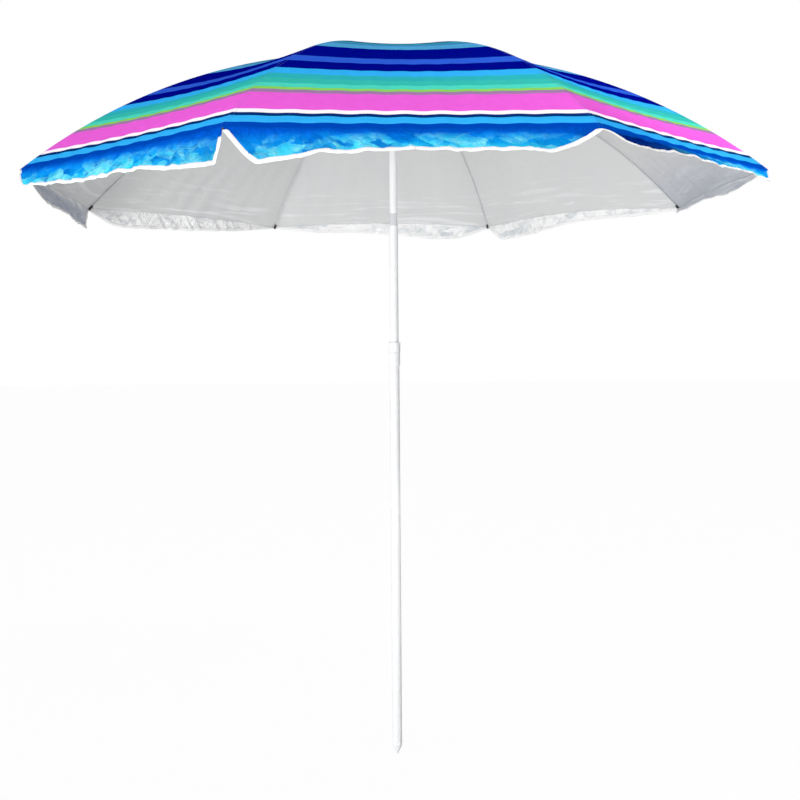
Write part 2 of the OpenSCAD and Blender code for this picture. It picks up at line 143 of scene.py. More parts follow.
def makeWeaveGroup():
    c = weaveSpec
    group, start, end = newGroup(
        "weave",
        [("Map", "NodeSocketVector"), ("Threads", "NodeSocketFloat")],
        [("Height", "NodeSocketFloat"), ("Shade", "NodeSocketFloat")])
    place, threads = start.outputs["Map"], start.outputs["Threads"]
    split = addNode(group, "ShaderNodeSeparateXYZ")
    group.links.new(place, split.inputs[0])
    warp = maths(group, "SINE", maths(group, "MULTIPLY", split.outputs[0], threads))
    weft = maths(group, "SINE", maths(group, "MULTIPLY", split.outputs[1], threads))
    slub = addNode(group, "ShaderNodeTexNoise", in_Scale=c["slubScale"], in_Detail=c["slubDetail"])
    group.links.new(place, slub.inputs["Vector"])
    thick = scaled(group, slub.outputs[0], c["slubHeight"])
    height = maths(group, "ADD", maths(group, "MULTIPLY", warp, weft), thick)
    group.links.new(height, end.inputs["Height"])
    shade = scaled(group, slub.outputs[0], c["shadeSpan"], c["shadeLow"])
    group.links.new(shade, end.inputs["Shade"])
    return group


# fine moulding or paint grain, with broad faint patches and a few scuffs
grainSpec = dict(grainDetail=2.0, patchDetail=4.0, scuffScale=60.0, scuffDetail=6.0, scuffBend=1.5,
                 scuffFrom=0.62, scuffFull=0.72)


def makeGrainGroup():
    c = grainSpec
    group, start, end = newGroup(
        "finishGrain",
        [("Grain", "NodeSocketFloat"), ("Patch", "NodeSocketFloat")],
        [("Height", "NodeSocketFloat"), ("Patches", "NodeSocketFloat"), ("Scuffs", "NodeSocketFloat")])
    coords = addNode(group, "ShaderNodeTexCoord").outputs["Object"]
    grain = addNode(group, "ShaderNodeTexNoise", in_Detail=c["grainDetail"])
    patch = addNode(group, "ShaderNodeTexNoise", in_Detail=c["patchDetail"])
    scuff = addNode(group, "ShaderNodeTexNoise", in_Scale=c["scuffScale"], in_Detail=c["scuffDetail"],
                    in_Distortion=c["scuffBend"])
    for node in (grain, patch, scuff):
        group.links.new(coords, node.inputs["Vector"])
    group.links.new(start.outputs["Grain"], grain.inputs["Scale"])
    group.links.new(start.outputs["Patch"], patch.inputs["Scale"])
    worn = mapRange(group, scuff.outputs[0], c["scuffFrom"], c["scuffFull"])
    group.links.new(grain.outputs[0], end.inputs["Height"])
    group.links.new(patch.outputs[0], end.inputs["Patches"])
    group.links.new(worn, end.inputs["Scuffs"])
    return group


weaveGroup = makeWeaveGroup()
grainGroup = makeGrainGroup()


# hard finishes
finishSpec = {
    "pole_white": dict(
        colour=(246, 247, 248), worn=(226, 228, 230), rough=0.30, metal=0.0, grain=700, bump=0.05),
    "plastic_white": dict(
        colour=(246, 247, 248), worn=(228, 229, 230), rough=0.42, metal=0.0, grain=1500, bump=0.10),
    "plastic_dark": dict(
        colour=(34, 34, 38), worn=(70, 70, 74), rough=0.48, metal=0.0, grain=1500, bump=0.12),
    "tilt_metal": dict(
        colour=(226, 228, 231), worn=(190, 192, 196), rough=0.40, metal=0.3, grain=1100, bump=0.14),
    "wire_steel": dict(
        colour=(226, 228, 231), worn=(190, 192, 195), rough=0.36, metal=0.2, grain=800, bump=0.06),
}
# how strongly patches and scuffs show, and how deep the grain is
wearSpec = dict(patch=14.0, patchTint=0.35, scuffTint=0.35, patchRough=0.16, scuffRough=0.15, depth=0.0004)


def makeFinish(name, spec):
    w = wearSpec
    material, tree, shader = newMaterial(name)
    grain = useGroup(tree, grainGroup, Grain=spec["grain"], Patch=w["patch"])
    patches, scuffs = grain.outputs["Patches"], grain.outputs["Scuffs"]
    worn = linear(spec["worn"])
    base = mixColour(tree, scaled(tree, patches, w["patchTint"]), linear(spec["colour"]), worn)
    base = mixColour(tree, scaled(tree, scuffs, w["scuffTint"]), base, worn)
    tree.links.new(base, shader.inputs["Base Color"])
    rough = scaled(tree, patches, w["patchRough"], spec["rough"] - w["patchRough"] / 2)
    rough = maths(tree, "ADD", rough, scaled(tree, scuffs, w["scuffRough"]))
    tree.links.new(rough, shader.inputs["Roughness"])
    shader.inputs["Metallic"].default_value = spec["metal"]
    addBump(tree, shader, grain.outputs["Height"], spec["bump"], w["depth"])
    return material


finishes = {name: makeFinish(name, spec) for name, spec in finishSpec.items()}
for part in frame["record"]["subparts"]:
    slotName = part["material_slot"]
    if slotName in finishes:
        mesh = nodes[part["node"]].data
        mesh.materials.clear()
        mesh.materials.append(finishes[slotName])
print("hard finishes on the frame")


# creases and crumples, on the cloth's own map in metres
crumpleSpec = dict(
    drift=0.7,  # a pattern's seed shifts it across the cloth, and this share as far along it
    detail=3.5, rough=0.55, bend=0.6, facetNoise=0.9, facetDetail=2.0, facetBend=0.45, facetSoft=0.25)


def clothMap(tree, uv, across, along, seed, turn=0.0):
    mapping = addNode(tree, "ShaderNodeMapping")
    mapping.inputs["Rotation"].default_value = (0.0, 0.0, turn)
    mapping.inputs["Scale"].default_value = (across, along, 1.0)
    mapping.inputs["Location"].default_value = (seed, seed * crumpleSpec["drift"], 0.0)
    tree.links.new(uv, mapping.inputs[0])
    return mapping.outputs[0]


def crinkle(tree, uv, **pattern):
    # soft creases, longer one way than the other
    c = crumpleSpec
    noise = addNode(tree, "ShaderNodeTexNoise", in_Scale=1.0, in_Detail=c["detail"],
                    in_Roughness=c["rough"], in_Distortion=c["bend"])
    tree.links.new(clothMap(tree, uv, **pattern), noise.inputs["Vector"])
    return noise.outputs[0]


def facets(tree, uv, **pattern):
    # crumpled cloth: small flat facets, each with a value of its own, which the colours use for painted light and
    # shade
    c = crumpleSpec
    place = clothMap(tree, uv, **pattern)
    bend = addNode(tree, "ShaderNodeTexNoise", in_Scale=c["facetNoise"], in_Detail=c["facetDetail"])
    tree.links.new(place, bend.inputs["Vector"])
    cells = addNode(tree, "ShaderNodeTexVoronoi", voronoi_dimensions="2D", feature="SMOOTH_F1",
                    in_Scale=1.0, in_Smoothness=c["facetSoft"])
    bent = mixColour(tree, c["facetBend"], place, bend.outputs["Color"], "ADD")
    tree.links.new(bent, cells.inputs["Vector"])
    split = addNode(tree, "ShaderNodeSeparateColor")
    tree.links.new(cells.outputs["Color"], split.inputs[0])
    return split.outputs[0]


def ridges(tree, value, sharp):
    # thin bright lines where a soft pattern passes its middle
    fold = maths(tree, "ABSOLUTE", scaled(tree, value, 2.0, -1.0))
    return maths(tree, "POWER", maths(tree, "SUBTRACT", 1.0, fold), sharp)


def weaveShade(tree, weave):
    shade = addNode(tree, "ShaderNodeCombineColor")
    for socket in shade.inputs:
        tree.links.new(weave.outputs["Shade"], socket)
    return shade.outputs[0]


# what the cloth's two faces share
clothSpec = dict(threads=5200.0, weaveHeight=0.03, depth=0.006)


def clothBump(tree, shader, weave, relief, strength):
    height = scaled(tree, weave.outputs["Height"], clothSpec["weaveHeight"], relief)
    addBump(tree, shader, height, strength, clothSpec["depth"])


# striped outside
palette = {
    "navy": (0, 8, 134), "royal": (44, 90, 210), "sky": (50, 174, 244), "paleBlue": (76, 158, 208),
    "deepTeal": (34, 96, 140), "teal": (46, 176, 184), "sea": (54, 186, 174), "paleTeal": (58, 130, 174),
    "mint": (76, 212, 190), "lime": (138, 210, 84), "mauve": (160, 122, 166), "pink": (234, 96, 216),
    "white": (252, 246, 252), "ink": (6, 46, 112), "deepBlue": (0, 70, 180), "flapBlue": (4, 94, 210),
    # the last colours also paint light and shade on the flaps: a deeper blue for painted shade in dents, cyan and
    # a near-white for painted highlights on crumples and creases, a navy for painted shadow in folds
    "azure": (10, 140, 238), "bright": (14, 156, 234), "cyan": (54, 212, 244), "dentShade": (0, 78, 190),
    "glint": (170, 240, 255), "paintedShade": (0, 28, 116),
}
stripedSpec = dict(
    # where each stripe starts, as a share of the way from the middle to the rim
    inner=[
        (0.0, "sky"), (0.05, "navy"), (0.09, "royal"), (0.11, "navy"), (0.15, "sky"), (0.175, "teal"),
        (0.21, "mint"), (0.23, "lime"), (0.243, "mauve"), (0.256, "pink"), (0.30, "white"), (0.31, "navy"),
        (0.32, "deepTeal"), (0.405, "teal"), (0.42, "paleTeal"),
    ],
    outer=[
        (0.465, "paleBlue"), (0.535, "navy"), (0.652, "royal"), (0.697, "navy"), (0.748, "sky"),
        (0.782, "teal"), (0.808, "sea"), (0.832, "mint"), (0.851, "lime"), (0.861, "mauve"),
        (0.877, "pink"), (0.941, "white"), (0.9535, "ink"), (0.9635, "sky"), (0.985, "deepBlue"),
    ],
    outerEnd=1.001,
    # the flap's print runs on from 1.0 at the rim to 1.1 at the edge of a full flap
    flap=[(1.0, "deepBlue"), (1.016, "flapBlue"), (1.036, "azure"), (1.066, "bright"), (1.1, "cyan")],
    # the flap's end, then where its painted highlights fade in
    flapEnd=1.1, highlightFrom=1.022, highlightFull=1.07,
    creases=dict(across=20.0, along=26.0, seed=3.0), creaseSharp=7.0,
    fine=dict(across=62.0, along=52.0, seed=9.0), fineSharp=6.0, fineHeight=0.4,
    # painted shade in the flap's dents
    shadedDents=dict(across=9.0, along=16.0, seed=1.0, turn=0.35), dentShadeRange=(0.48, 0.62), dentShadeTint=0.6,
    # facets for the flap's painted highlights
    bigFacets=dict(across=26.0, along=40.0, seed=4.0), bigShare=0.6,
    smallFacets=dict(across=62.0, along=80.0, seed=6.0), smallShare=0.4, highlightRange=(0.36, 0.70),
    glintTint=0.5, weaveTint=0.6, rough=0.46, fineRough=0.2, panelRelief=0.15, bump=0.55)


def makeRamp(tree, value, stops, low, high, mode):
    ramp = addNode(tree, "ShaderNodeValToRGB")
    ramp.color_ramp.interpolation = mode
    elements = ramp.color_ramp.elements
    while len(elements) < len(stops):
        elements.new(1.0)
    for element, (at, name) in zip(elements, stops):
        element.position = (at - low) / (high - low)
        element.color = linear(palette[name]) + (1.0,)
    tree.links.new(mapRange(tree, value, low, high), ramp.inputs[0])
    return ramp.outputs[0]


def printedStripes(tree, stripe):
    # an inner and an outer ramp, which meet where the outer one's first stripe starts
    c = stripedSpec
    split = c["outer"][0][0]
    inner = makeRamp(tree, stripe, c["inner"], 0.0, split, "CONSTANT")
    outer = makeRamp(tree, stripe, c["outer"], split, c["outerEnd"], "CONSTANT")
    return mixColour(tree, maths(tree, "GREATER_THAN", stripe, split), inner, outer)


def printedFlap(tree, uv, stripe, creaseLines):
    # painted highlights: the lower half is mottled with paler cyan facets, with near-white glints along its
    # shinier creases
    c = stripedSpec
    flap = makeRamp(tree, stripe, c["flap"], 1.0, c["flapEnd"], "LINEAR")
    # painted shade: a deeper blue in the flap's dents
    shadedDents = mapRange(tree, crinkle(tree, uv, **c["shadedDents"]), *c["dentShadeRange"], 0.0, c["dentShadeTint"])
    flap = mixColour(tree, shadedDents, flap, linear(palette["dentShade"]))
    big = scaled(tree, facets(tree, uv, **c["bigFacets"]), c["bigShare"])
    shades = scaled(tree, facets(tree, uv, **c["smallFacets"]), c["smallShare"], big)
    low = mapRange(tree, stripe, c["highlightFrom"], c["highlightFull"])
    patches = maths(tree, "MULTIPLY", mapRange(tree, shades, *c["highlightRange"]), low)
    flap = mixColour(tree, patches, flap, linear(palette["cyan"]))
    glint = scaled(tree, maths(tree, "MULTIPLY", creaseLines, patches), c["glintTint"])
    return mixColour(tree, glint, flap, linear(palette["glint"]))


def makeStripedCloth():
    c = stripedSpec
    material, tree, shader = newMaterial("stripedCloth")
    uv = addNode(tree, "ShaderNodeUVMap", uv_map="cloth").outputs[0]
    stripe = attribute(tree, "stripe")
    weave = useGroup(tree, weaveGroup, Map=uv, Threads=clothSpec["threads"])
    creaseLines = ridges(tree, crinkle(tree, uv, **c["creases"]), c["creaseSharp"])
    fine = crinkle(tree, uv, **c["fine"])
    onFlap = maths(tree, "GREATER_THAN", stripe, 1.0)
    flap = printedFlap(tree, uv, stripe, creaseLines)
    colour = mixColour(tree, onFlap, printedStripes(tree, stripe), flap)
    # painted shadow of a fold, in navy, on the flaps' outsides
    colour = mixColour(tree, attribute(tree, "paintedShade"), colour, linear(palette["paintedShade"]))
    colour = mixColour(tree, c["weaveTint"], colour, weaveShade(tree, weave), "MULTIPLY")
    tree.links.new(colour, shader.inputs["Base Color"])
    tree.links.new(scaled(tree, fine, c["fineRough"], c["rough"]), shader.inputs["Roughness"])
    shader.inputs["Specular IOR Level"].default_value = 0.0
    relief = scaled(tree, ridges(tree, fine, c["fineSharp"]), c["fineHeight"], creaseLines)
    amount = scaled(tree, onFlap, 1 - c["panelRelief"], c["panelRelief"])
    clothBump(tree, shader, weave, maths(tree, "MULTIPLY", relief, amount), c["bump"])
    return material


# silver coat inside
silverSpec = dict(
    pale=(228, 228, 227), grey=(212, 214, 217), broad=dict(across=4.0, along=3.0, seed=2.0), greyShare=0.7,
    creases=dict(across=18.0, along=24.0, seed=5.0), creaseSharp=4.0,
    # painted highlights of folds along the rim
    pulls=dict(across=5.0, along=48.0, seed=7.0, turn=0.06), pullRange=(0.52, 0.66), pullTint=0.7,
    pullFrom=0.84, pullFull=0.97, pullHighlight=(248, 250, 252),
    soft=dict(across=20.0, along=46.0, seed=8.0, turn=0.4), softShare=0.65,
    facets=dict(across=26.0, along=60.0, seed=8.0), facetShare=0.35, crumpleRange=(0.36, 0.54),
    # painted shade and highlights of the inside's crumples, with white along its creases
    crumpleShade=(206, 213, 219), crumpleHighlight=(255, 255, 255), crumpleHighlightLines=0.6,
    # on this next line, the last colour is a blue-grey for painted shade
    seam=(150, 154, 158), seamWide=0.004, seamShadeTint=0.25, paintedShade=(108, 128, 172),
    rough=0.34, creaseRough=0.2, specular=0.3, panelRelief=0.2, flapRelief=1.3, bump=0.6)


def coatedFlap(tree, uv, creases):
    c = silverSpec
    # painted light and shade: darker and paler facets, paler overall than the panel, with white along the creases
    soft = scaled(tree, crinkle(tree, uv, **c["soft"]), c["softShare"])
    shades = scaled(tree, facets(tree, uv, **c["facets"]), c["facetShare"], soft)
    patches = mapRange(tree, shades, *c["crumpleRange"])
    crumpled = mixColour(tree, patches, linear(c["crumpleShade"]), linear(c["crumpleHighlight"]))
    return mixColour(tree, scaled(tree, creases, c["crumpleHighlightLines"]), crumpled, linear(c["crumpleHighlight"]))


def coatedPanel(tree, uv, stripe):
    # painted highlights of faint folds running along the rim
    c = silverSpec
    broad = scaled(tree, crinkle(tree, uv, **c["broad"]), c["greyShare"])
    colour = mixColour(tree, broad, linear(c["pale"]), linear(c["grey"]))
    pulls = mapRange(tree, crinkle(tree, uv, **c["pulls"]), *c["pullRange"], 0.0, c["pullTint"])
    pulls = maths(tree, "MULTIPLY", pulls, mapRange(tree, stripe, c["pullFrom"], c["pullFull"]))
    return mixColour(tree, pulls, colour, linear(c["pullHighlight"]))


def makeSilverCoat():
    c = silverSpec
    material, tree, shader = newMaterial("silverCoat")
    uv = addNode(tree, "ShaderNodeUVMap", uv_map="cloth").outputs[0]
    stripe = attribute(tree, "stripe")
    weave = useGroup(tree, weaveGroup, Map=uv, Threads=clothSpec["threads"])
    creases = ridges(tree, crinkle(tree, uv, **c["creases"]), c["creaseSharp"])
    onFlap = maths(tree, "GREATER_THAN", stripe, 1.0)
    colour = mixColour(tree, onFlap, coatedPanel(tree, uv, stripe), coatedFlap(tree, uv, creases))
    # a darker line at the rim: the seam, and painted shade in the fold where the flap turns down
    fromSeam = maths(tree, "ABSOLUTE", maths(tree, "SUBTRACT", stripe, 1.0))
    seam = mapRange(tree, fromSeam, 0.0, c["seamWide"], c["seamShadeTint"], 0.0)
    colour = mixColour(tree, seam, colour, linear(c["seam"]))
    # painted shade on the insides of the side flaps and near one panel's rim, blue-grey as if the outside's blue
    # showed through
    colour = mixColour(tree, attribute(tree, "paintedShade"), colour, linear(c["paintedShade"]))
    tree.links.new(colour, shader.inputs["Base Color"])
    tree.links.new(scaled(tree, creases, c["creaseRough"], c["rough"]), shader.inputs["Roughness"])
    shader.inputs["Specular IOR Level"].default_value = c["specular"]
    amount = scaled(tree, onFlap, c["flapRelief"], c["panelRelief"])
    clothBump(tree, shader, weave, maths(tree, "MULTIPLY", creases, amount), c["bump"])
    return material


# plain woven pieces
tapeSpec = {
    "whiteTape": dict(colour=(250, 250, 250), threads=3600.0),
    "stitchThread": dict(colour=(92, 116, 168), threads=9000.0),
    "crownCloth": dict(colour=(58, 176, 240), threads=4200.0),
}
tapeFinish = dict(shade=0.7, rough=0.72, bump=0.35, depth=0.0005)


def makeTape(name):
    c, f = tapeSpec[name], tapeFinish
    material, tree, shader = newMaterial(name)
    coords = addNode(tree, "ShaderNodeTexCoord").outputs["Object"]
    weave = useGroup(tree, weaveGroup, Map=coords, Threads=c["threads"])
    colour = mixColour(tree, f["shade"], linear(c["colour"]), weaveShade(tree, weave), "MULTIPLY")
    tree.links.new(colour, shader.inputs["Base Color"])
    tree.links.new(scaled(tree, weave.outputs["Shade"], f["rough"]), shader.inputs["Roughness"])
    addBump(tree, shader, weave.outputs["Height"], f["bump"], f["depth"])
    return material


stripedCloth = makeStripedCloth()
silverCoat = makeSilverCoat()
whiteTape = makeTape("whiteTape")
stitchThread = makeTape("stitchThread")
crownCloth = makeTape("crownCloth")
print("cloth materials made")


# canopy, in metres and degrees
canopySpec = dict(
    ribs=8, ribStraight=0.190, ribBend=1.45, rootSlope=9.0, tipSlope=40.2,  # a straight length, then an arc
    lift=0.004, start=0.034, thick=0.0008,  # the cloth lies over the rib's middle line, from the hub on
    sagMid=0.007, sagRim=0.003, pullHeight=0.0011, pullWaves=9.5,  # it hangs between the ribs and puckers
    rimArch={1: 0.030, 2: 0.020, 3: 0.014, 8: 0.012},  # how far the middle of a panel's rim is drawn in
    halfCols=80, crowding=1.15, rows=46,  # mesh, with its columns closer together at the rib
    mapStep=0.8,  # from one panel's cloth map to the next
    fold=0.24)  # share of its width that a strip keeps when closed

# flaps below the rim
flapSpec = dict(
    length=0.070, least=0.006, notch=0.084, notchRound=0.25,  # cut down to the least in a notch at each rib
    curl=6.0, rows=20,
    rippleHeight=0.006, rippleWaves=2.5, rippleTurn=137.0, rippleFade=3.0,  # broad waves
    swayReach=0.0016, swayWaves=5.1,  # the edge wanders sideways
    # small waves along the edge: height, half waves across the panel, shift from panel to panel
    edgeWaves=((0.0022, 7.3, 2.1), (0.0013, 15.7, 1.3)),
    # slanting creases: height, length along the rim, length down the flap
    slants=((0.0016, 0.052, 0.060), (0.0011, 0.031, -0.042), (0.0006, 0.026, 0.034)),
    slantShift=2.3, slantStep=1.9, slantBend=1.4, slantPace=0.43, slantFade=0.02,
    printStart=1.0001, printSpan=0.1, paintedShadeFade=3.0, rimPaintedShadeFrom=0.78, rimPaintedShadeSpan=0.14,  # for the colours
    # by panel, at five places from its first rib to its second
    places=(-1, -0.5, 0, 0.5, 1),
    swing={  # degrees out from the vertical
        1: (15, 15, 12, 18, 15), 2: (15, 12, 18, 15, 15), 3: (18, 15, 15, 12, 15),
        4: (-5, -15, -25, -28, -28), 5: (48, 35, 35, 30, 5), 6: (-12, 42, 44, 48, 25),
        7: (55, 62, 60, 55, 30), 8: (-52, -54, -54, -54, -54),
    },
    share={  # of the usual length
        1: (0.3, 0.35, 0.45, 0.75, 0.75), 2: (0.5, 0.7, 0.5, 0.4, 0.3), 3: (0.3, 0.45, 0.65, 0.7, 0.7),
        7: (1.0, 1.0, 0.95, 0.8, 0.5),
    },
    # painted shade: on the flaps' insides a blue-grey, as if the outside's blue showed through their shadow; on
    # the outsides the shadow of a fold
    paintedShadeInside={4: (0.35, 0.5, 0.55, 0.5, 0.4), 8: (0.15, 0.2, 0.22, 0.2, 0.15)},
    paintedShadeOutside={
        5: (0.1, 0.0, 0.0, 0.1, 0.45), 6: (0.45, 0.05, 0.0, 0.05, 0.3), 7: (1.0, 0.95, 0.25, 0.0, 0.0),
    },
    # by panel
    notchShare={  # of the usual notch width, at its first and its second rib
        1: (1.8, 0.7), 2: (1.2, 2.0), 3: (2.0, 1.3), 4: (1.4, 1.1),
        5: (1.0, 0.15), 6: (0.8, 1.3), 7: (0.3, 0.4), 8: (0.9, 2.4),
    },
    # painted shadow of the next panel's flap on this panel's inside near the rim
    rimPaintedShade={8: 0.22},  # tint of the panel's inside near the rim
    printShare={7: 0.95},  # of the print, which a short flap still shows
    waveShare={4: 0.4, 5: 0.7, 6: 0.5, 7: 0.35, 8: 0.35})  # of the usual waves and creases

# the ribs' hinges give the height of the hub and the radius of its ring, to a micrometre
ribHinge = next(joint for joint in frame["joints"] if joint["name"] == "rib_fold_1")["pos_m"]
hubHeight = ribHinge[2]
ringRadius = round(math.hypot(ribHinge[0], ribHinge[1]), 6)
halfStep = math.radians(180 / canopySpec["ribs"])  # from a panel's middle to its rib
rootSlope = math.radians(canopySpec["rootSlope"])
tipSlope = math.radians(canopySpec["tipSlope"])
ribLen = canopySpec["ribStraight"] + (tipSlope - rootSlope) * canopySpec["ribBend"]
startLen = (canopySpec["start"] - ringRadius) / math.cos(rootSlope)


def ribLine(s):
    # radius, height and slope of the cloth at the length s along a rib
    c = canopySpec
    slope = rootSlope + np.maximum(0, s - c["ribStraight"]) / c["ribBend"]
    straight = np.minimum(s, c["ribStraight"])
    r = ringRadius + straight * math.cos(rootSlope) + c["ribBend"] * (np.sin(slope) - math.sin(rootSlope))
    z = hubHeight - straight * math.sin(rootSlope) - c["ribBend"] * (math.cos(rootSlope) - np.cos(slope))
    return r + c["lift"] * np.sin(slope), z + c["lift"] * np.cos(slope), slope


rimRadius = float(ribLine(np.array(ribLen))[0])
halfRim = rimRadius * math.sin(halfStep)


def placeOn(p, out, across, up):
    # from panel p's own directions to the frame's
    turn = math.radians(360 / canopySpec["ribs"] * p)
    x = out * math.cos(turn) - across * math.sin(turn)
    y = out * math.sin(turn) + across * math.cos(turn)
    return np.stack([x, y, up], axis=-1)


def clothPoint(p, t, s):
    # t runs from -1 at the panel's first rib to 1 at its second, s along the rib
    c = canopySpec
    v = np.clip((s - startLen) / (ribLen - startLen), 0, 1)
    middle = np.cos(np.pi / 2 * t)
    r, z, slope = ribLine(s - c["rimArch"].get(p, 0.0) * middle * v ** 2)
    sag = (c["sagMid"] * np.sin(np.pi * v) + c["sagRim"] * v) * middle
    pull = c["pullHeight"] * v ** 3 * np.sin(c["pullWaves"] * np.pi * t + p) * np.abs(middle) ** 0.5
    sag = sag + pull
    out = r * math.cos(halfStep) - sag * np.sin(slope)
    return placeOn(p, out, t * r * math.sin(halfStep), z - sag * np.cos(slope))


def flapLength(p, t):
    c = flapSpec
    first, second = c["notchShare"][p]
    notch = c["notch"] * np.where(t < 0, first, second)
    w = np.clip((1 - np.abs(t)) * halfRim / notch, 0, 1)
    full = c["length"] * np.interp(t, c["places"], c["share"].get(p, (1, 1, 1, 1, 1)))
    bulge = 1 + c["notchRound"] - c["notchRound"] * w ** 3
    return c["least"] + (full - c["least"]) * w * bulge


def flapWave(p, t, h):
    # how far the flap waves out of its own plane at h below the rim
    c = flapSpec
    wave = c["rippleHeight"] * np.sin(np.pi * c["rippleWaves"] * t + math.radians(c["rippleTurn"] * p))
    wave = wave * np.minimum(1, c["rippleFade"] * (1 - np.abs(t)))
    for high, count, shift in c["edgeWaves"]:
        wave = wave + high * np.sin(np.pi * count * t + shift * p)
    slant = 0
    for i, (high, along, down) in enumerate(c["slants"]):
        turn = 2 * np.pi * (t * halfRim / along + h / down) + (c["slantStep"] * i + c["slantShift"]) * p
        slant = slant + high * np.sin(turn + c["slantBend"] * np.sin(c["slantPace"] * turn + p))
    slant = slant * np.minimum(1, h / c["slantFade"])
    return (wave * (h / c["length"]) ** 2 + slant) * c["waveShare"].get(p, 1.0)


def flapPoint(p, t, h):
    # h runs down the flap from the rim
    c = flapSpec
    down = h / c["length"]
    swing = np.interp(t, c["places"], c["swing"][p])
    angle = np.radians(swing + (1 - down) * c["curl"] * np.cos(np.pi * t / 2))
    wave = flapWave(p, t, h)
    out = h * np.sin(angle) + wave * np.cos(angle)
    sway = c["swayReach"] * down * np.sin(np.pi * c["swayWaves"] * t + p)
    up = wave * np.sin(angle) - h * np.cos(angle)
    return clothPoint(p, t, np.full_like(t, ribLen)) + placeOn(p, out, sway, up)


def normalOf(point, p, t, s):
    # the outward normal of clothPoint or flapPoint
    e = 1e-4
    along = point(p, t, s + e) - point(p, t, s - e)
    over = point(p, t + e, s) - point(p, t - e, s)
    n = np.cross(along, over)
    return n / np.linalg.norm(n, axis=-1, keepdims=True)


def stripPanels(k):
    # the two panels that meet at rib k, each with its columns from or to its middle
    n = canopySpec["halfCols"]
    half = (np.arange(n + 1) / n) ** canopySpec["crowding"]
    return (canopySpec["ribs"] if k == 1 else k - 1, 1 - half[::-1]), (k, half - 1)


def joinSides(first, second):
    seam = (first[:, -1:] + second[:, :1]) / 2
    return np.concatenate([first[:, :-1], seam, second[:, 1:]], axis=1)


def paintedShadeTint(tints, rimTints, p, tf, ff, ss):
    # painted shade: how dark it is on a flap, fading in below the rim, and on a panel's inside near its rim
    c = flapSpec
    onFlap = np.interp(tf, c["places"], tints.get(p, (0, 0, 0, 0, 0))) * np.minimum(1, c["paintedShadeFade"] * ff)
    nearRim = rimTints.get(p, 0.0) * np.clip((ss / ribLen - c["rimPaintedShadeFrom"]) / c["rimPaintedShadeSpan"], 0, 1)
    return np.concatenate([nearRim, onFlap])


def panelSide(p, t):
    # half a panel: rows of cloth down to the rim, then rows of its flap
    c, f = canopySpec, flapSpec
    tt, ss = np.meshgrid(t, np.linspace(startLen, ribLen, c["rows"] + 1))
    tf, ff = np.meshgrid(t, np.linspace(0, 1, f["rows"] + 1)[1:])
    hh = ff * flapLength(p, tf)
    radius = ribLine(ss)[0]
    shown = np.maximum(hh / f["length"], ff * f["printShare"].get(p, 0.0))
    return dict(
        points=np.concatenate([clothPoint(p, tt, ss), flapPoint(p, tf, hh)]),
        normals=np.concatenate([normalOf(clothPoint, p, tt, ss), normalOf(flapPoint, p, tf, hh)]),
        length=np.concatenate([ss, ribLen + hh]),
        stripe=np.concatenate([radius / rimRadius, f["printStart"] + f["printSpan"] * shown]),
        across=np.concatenate([tt * radius * math.sin(halfStep), tf * halfRim]) + c["mapStep"] * p,
        # painted shade, on the inside and on the outside
        paintedShadeIn=paintedShadeTint(f["paintedShadeInside"], f["rimPaintedShade"], p, tf, ff, ss),
        paintedShadeOut=paintedShadeTint(f["paintedShadeOutside"], {}, p, tf, ff, ss))


def meshObject(name, points, faces, materials, faceMaterials=None, smooth=True):
    mesh = bpy.data.meshes.new(name)
    mesh.from_pydata([tuple(p) for p in points], [], [tuple(f) for f in faces])
    for material in materials:
        mesh.materials.append(material)
    if faceMaterials is not None:
        mesh.polygons.foreach_set("material_index", np.array(faceMaterials, np.int32))
    if smooth:
        mesh.polygons.foreach_set("use_smooth", np.ones(len(mesh.polygons), bool))
    mesh.update()
    obj = bpy.data.objects.new(name, mesh)
    bpy.context.scene.collection.objects.link(obj)
    return obj


def gridFaces(rows, cols, turned=False):
    i, j = np.meshgrid(np.arange(rows - 1), np.arange(cols - 1), indexing="ij")
    a = (i * cols + j).ravel()
    # both ways round, a face starts at the same corner, so that both are cut along the same diagonal
    corners = [a, a + 1, a + cols + 1, a + cols] if turned else [a, a + cols, a + cols + 1, a + 1]
    return np.stack(corners, axis=1)


def addAttribute(mesh, name, values):
    mesh.attributes.new(name, "FLOAT", "POINT").data.foreach_set("value", values.astype(np.float32))


def addClothMap(mesh, faces, sides, length):
    # each panel has a map of its own, so the two halves meet at the seam and don't run on
    rows, cols = length.shape
    half = cols // 2
    corners = faces.ravel() % (rows * cols)
    row, col = np.divmod(corners, cols)
    onFirst = np.repeat((faces % cols).min(axis=1) < half, 4)
    first = sides[0]["across"][row, np.minimum(col, half)]
    second = sides[1]["across"][row, np.maximum(col - half, 0)]
    uv = np.stack([np.where(onFirst, first, second), length.ravel()[corners]], axis=1)
    mesh.uv_layers.new(name="cloth").data.foreach_set("uv", uv.ravel().astype(np.float32))


def setNormals(mesh, faces, normals, hemStart):
    # smooth over both faces of the cloth, flat round its hem
    given = np.concatenate([normals, -normals])[faces.ravel()]
    flat = np.empty(3 * len(mesh.polygons), np.float32)
    mesh.polygons.foreach_get("normal", flat)
    given[4 * hemStart:] = np.repeat(flat.reshape(-1, 3)[hemStart:], 4, axis=0)
    mesh.normals_split_custom_set([tuple(n) for n in given])


